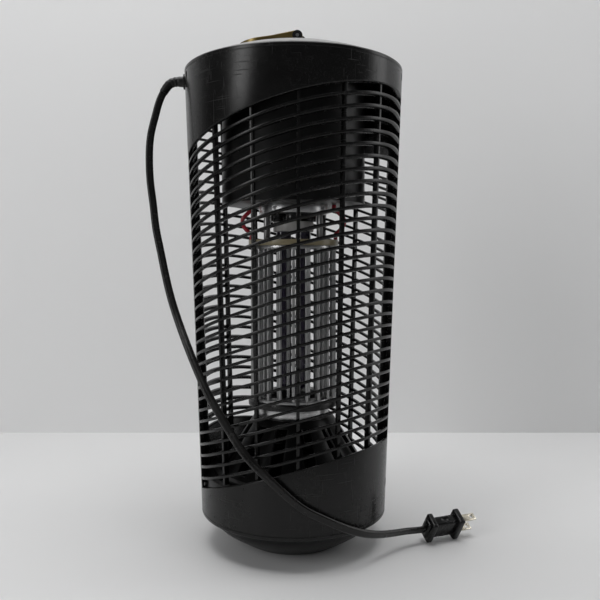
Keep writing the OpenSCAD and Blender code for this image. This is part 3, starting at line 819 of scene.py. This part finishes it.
makePiece(bored(domeShape(), coverWells()), "topCover", "housing",
          finishes["cover"], ["top_cover"])
places = [Matrix.Rotation(math.radians(turn), 4, "Z")
          @ Matrix.Translation((cover["screwCircle"], 0, coverSeat))
          @ Matrix.Rotation(math.radians(turn * 1.7), 4, "Z") for turn in cover["screwTurns"]]
makePiece(manyScrews(smallScrew, places), "coverScrews", "housing",
          finishes["screw"], ["cover_screws"])

makePiece(nodeCopy("carry_handle", 0.5, 3), "carryHandle", "handle",
          finishes["strap"], ["carry_handle"])
makePiece(nodeCopy("handle_lugs", 0.4), "handleLugs", "housing",
          finishes["body"], ["handle_lugs"])
pivot = {"x": 3.3, "z": 433.7, "strapFace": 28.05, "washerR": 4.3, "washer": 0.5, "head": 2.9}


def pivotPlace(turn, out, roll=0.0):
    return (Matrix.Translation((pivot["x"], 0, 0))
            @ outward(turn, pivot["strapFace"] + out, pivot["z"], roll))


pivotScrew = screwShape(pivot["head"], 1.35, 7.6)
places = [pivotPlace(turn, pivot["washer"], 30) for turn in (0, 180)]
makePiece(manyScrews(pivotScrew, places), "handlePins", "housing",
          finishes["screw"], ["handle_pins"])
bm = bmesh.new()
for turn in (0, 180):
    made = addRod(bm, 0, pivot["washer"], pivot["washerR"], 40, 0.12)
    bmesh.ops.transform(bm, matrix=pivotPlace(turn, 0), verts=made)
makePiece(bm, "pivotWashers", "housing", finishes["socket"])
print("cover and handle made")


# ---- drum, lamp and grid ----
lamp = {"tubeR": 6.5, "offset": 8.5, "low": 128.0, "top": 268.0}
grid = {"outerR": 36.0, "innerR": 28.0, "rods": 20, "rodR": 1.5, "low": 125.0, "high": 253.0}


def vertsAndEdges(geometry):
    return ([g for g in geometry if isinstance(g, bmesh.types.BMVert)],
            [g for g in geometry if isinstance(g, bmesh.types.BMEdge)])


def lengthened(bm, edges, rise):
    # draws a ring of edges up or down, and returns the new ring
    verts, edges = vertsAndEdges(bmesh.ops.extrude_edge_only(bm, edges=edges)["geom"])
    bmesh.ops.translate(bm, vec=(0, 0, rise), verts=verts)
    return verts, edges


def lampShape():
    # two bent pairs of tubes
    bm = bmesh.new()
    radius, offset, top = lamp["tubeR"], lamp["offset"], lamp["top"]
    bendZ = lamp["low"] + radius + offset
    for side in (-1, 1):
        ring = bmesh.ops.create_circle(bm, cap_ends=False, radius=radius, segments=32)["verts"]
        bmesh.ops.translate(bm, vec=(offset, side * offset, top), verts=ring)
        edges = list({e for v in ring for e in v.link_edges})
        verts, edges = lengthened(bm, edges, bendZ - top)
        bend = bmesh.ops.spin(
            bm, geom=verts + edges, cent=(0, side * offset, bendZ), axis=(0, 1, 0),
            angle=math.pi, steps=20, use_merge=False)["geom_last"]
        lengthened(bm, vertsAndEdges(bend)[1], top - bendZ)
    bmesh.ops.holes_fill(bm, edges=[e for e in bm.edges if e.is_boundary], sides=0)
    return bm


def rodCage(radius, turn):
    bm = bmesh.new()
    for i in range(grid["rods"]):
        made = addRod(bm, grid["low"], grid["high"], grid["rodR"], 16)
        placeVerts(bm, made, turn + 360 * i / grid["rods"], (radius, 0, 0))
    return bm


makePiece(lampShape(), "blacklightTubes", "housing", finishes["glass"], ["uv_lamp"])
makePiece(rodCage(grid["outerR"], 0), "outerGridRods", "housing", finishes["grid"],
          ["outer_grid_rods"])
makePiece(rodCage(grid["innerR"], 180 / grid["rods"]), "innerGridRods", "housing",
          finishes["grid"], ["inner_grid_rods"])

softCopies = [
    ("ballast_housing", "ballastDrum", "inner_plastic", "inner", 0.8),
    ("upper_plate", "socketPan", "plate_aluminium", "plate", 0.5),
    ("lamp_socket", "lampSocket", "socket_plastic", "socket", 0.7),
    ("lamp_base", "lampBase", "white_plastic", "white", 0.9),
    ("upper_insulator", "upperInsulator", "insulator_cream", "cream", 0.5),
    ("lower_insulator", "lowerInsulator", "insulator_dark", "dark", 0.5),
    ("outer_grid_hoops", "outerGridHoops", "grid_steel", "grid", 0.4),
    ("inner_grid_hoops", "innerGridHoops", "grid_steel", "grid", 0.4),
    ("lower_plate", "lowerPlate", "plate_aluminium", "plate", 0.5),
    ("grid_posts", "gridPosts", "screw_steel", "screw", 0.2),
    ("catch_funnel", "catchFunnel", "inner_plastic", "inner", 0.5),
    ("tray_collar", "trayCollar", "inner_plastic", "inner", 0.4),
    ("terminal_block", "terminalBlock", "white_plastic", "white", 0.6),
    ("hv_capacitor", "foilCapacitor", "capacitor_case", "case", 0.8),
    ("ballast_core", "ballastCore", "core_iron", "iron", 0.4),
    ("ballast_coil", "ballastCoil", "coil_copper", "copper", 1.0),
]
for nodeName, name, slotName, finishName, softness in softCopies:
    makePiece(nodeCopy(nodeName, softness), name, "housing", finishes[finishName],
              [nodeName])

plateScrewR, plateScrewZ = 30.5, 288.2
places = [outward(turn, plateScrewR, plateScrewZ, 25 * i)
          for i, turn in enumerate((-32, 58, 148, 238))]
makePiece(manyScrews(smallScrew, places), "plateScrews", "housing",
          finishes["screw"], ["plate_screws"])

leadTop, leadFoot = Vector((-36, 0, 292)), Vector((-37.3, 0, 261))
leadRoute = [leadTop + Vector(v)
             for v in ((0, 0, 0), (0, 0, -2), (0, 0, -4), (-4, 0, -7), (-9, 0, -13))]
leadRoute += [leadFoot + Vector(v) for v in ((-6, 0, 11), (0, 0, 5), (0, 0, 2.5), (0, 0, 0))]
leadRing = circleOutline(1.8, 16)
bm = bmesh.new()
for turn in (0, 180):
    before = set(bm.verts)
    sweptTube(bm, smoothRoute(leadRoute, 6), lambda i: leadRing)
    turnVerts(bm, [v for v in bm.verts if v not in before], turn)
makePiece(bm, "highVoltageLeads", "housing", finishes["sleeve"], ["hv_leads"])
print("inside made")


# ---- tray ----
tray = {"footR": 42.0, "sideR": 74.0, "neckR": 68.0, "wall": 2.5, "shoulder": 45.6,
        "neckTop": 57.1, "lugZ": 50.9, "lugHigh": 4.0, "lugOut": 2.9, "lugTurn": 14.0}


def trayShape():
    bm = bmesh.new()
    f, s, n, t = tray["footR"], tray["sideR"], tray["neckR"], tray["wall"]
    shoulder, neckTop, lugZ = tray["shoulder"], tray["neckTop"], tray["lugZ"]
    outline = [
        (0, 2), (f - 5.4, 2), (f - 5, 1.6), (f - 5, 0.5), (f - 4.5, 0), (f - 0.6, 0),
        (f + 0.6, 0.35), (f + 8, 4.6), (f + 15, 9), (f + 22, 13.6), (s - 4.6, 18.4),
        (s - 2.2, 21.4), (s - 0.8, 24.2), (s, 27.4), (s, shoulder - 0.8), (s - 0.8, shoulder),
        (n + 0.4, shoulder), (n, shoulder + 0.4), (n, neckTop - 0.5), (n - 0.5, neckTop),
        (n - t + 0.5, neckTop), (n - t, neckTop - 0.5), (n - t, shoulder - 16), (f + 13, 12.5),
        (f - 1, 4.5), (0, 4.5)]
    turnedShape(bm, outline, 128)
    half = n * math.radians(tray["lugTurn"]) / 2
    for turn in (0, 120, 240):
        made = addBlock(
            bm, (n - 1, -half, lugZ), (n + tray["lugOut"], half, lugZ + tray["lugHigh"]), 0.5)
        for v in made:
            angle = v.co.y / n
            v.co = Vector((v.co.x * math.cos(angle), v.co.x * math.sin(angle), v.co.z))
        turnVerts(bm, made, turn)
    return bm


makePiece(trayShape(), "collectionTray", "tray", finishes["tray"],
          ["collection_tray"])
print("tray made")


# ---- floor, backdrop and lights ----
stage = {"back": 0.36, "reach": 4.0, "floor": 0.72, "wall": 0.80}


def stageFinish(name, level):
    f = Finish(name, Roughness=0.6)
    cloud = f.noise(3.0, 3.0, 0.5)
    f.colour(f.blend(f.clamped(cloud.above(0.5, 0.8)), grey(level), grey(level * 0.97)))
    f.rough(0.6 + (cloud - 0.5) * 0.1)
    return f.material


def stagePlane(name, corners, finish):
    sheet = bmesh.new()
    sheet.faces.new([sheet.verts.new(c) for c in corners])
    mesh = storedMesh(sheet, name)
    mesh.materials.append(finish)
    item = bpy.data.objects.new(name, mesh)
    bpy.context.scene.collection.objects.link(item)


far, back = stage["reach"], stage["back"]
stagePlane("floor", [(-far, -far, 0), (far, -far, 0), (far, far, 0), (-far, far, 0)],
           stageFinish("floorPaper", stage["floor"]))
stagePlane("backdrop", [(-far, back, 0), (far, back, 0), (far, back, far), (-far, back, far)],
           stageFinish("wallPaper", stage["wall"]))


def softLight(name, place, target, size, power):
    data = bpy.data.lights.new(name, "AREA")
    data.shape = "RECTANGLE"
    data.size, data.size_y = size
    data.energy = power
    item = bpy.data.objects.new(name, data)
    item.location = place
    item.rotation_euler = (Vector(target) - Vector(place)).to_track_quat("-Z", "Y").to_euler()
    bpy.context.scene.collection.objects.link(item)


softLight("topLight", (-0.1, -0.15, 1.55), (0, 0.1, 0.1), (1.3, 0.7), 14)
softLight("leftLight", (-1.15, -0.95, 0.75), (0, 0, 0.25), (0.4, 1.0), 7)
softLight("rightLight", (1.2, 0.1, 0.6), (0, 0, 0.2), (0.4, 1.0), 3)
world = bpy.data.worlds.new("room")
world.use_nodes = True
background = world.node_tree.nodes["Background"].inputs
background["Color"].default_value = (0.8, 0.82, 0.85, 1)
background["Strength"].default_value = 0.12
bpy.context.scene.world = world
bpy.context.scene.view_settings.view_transform = "Standard"
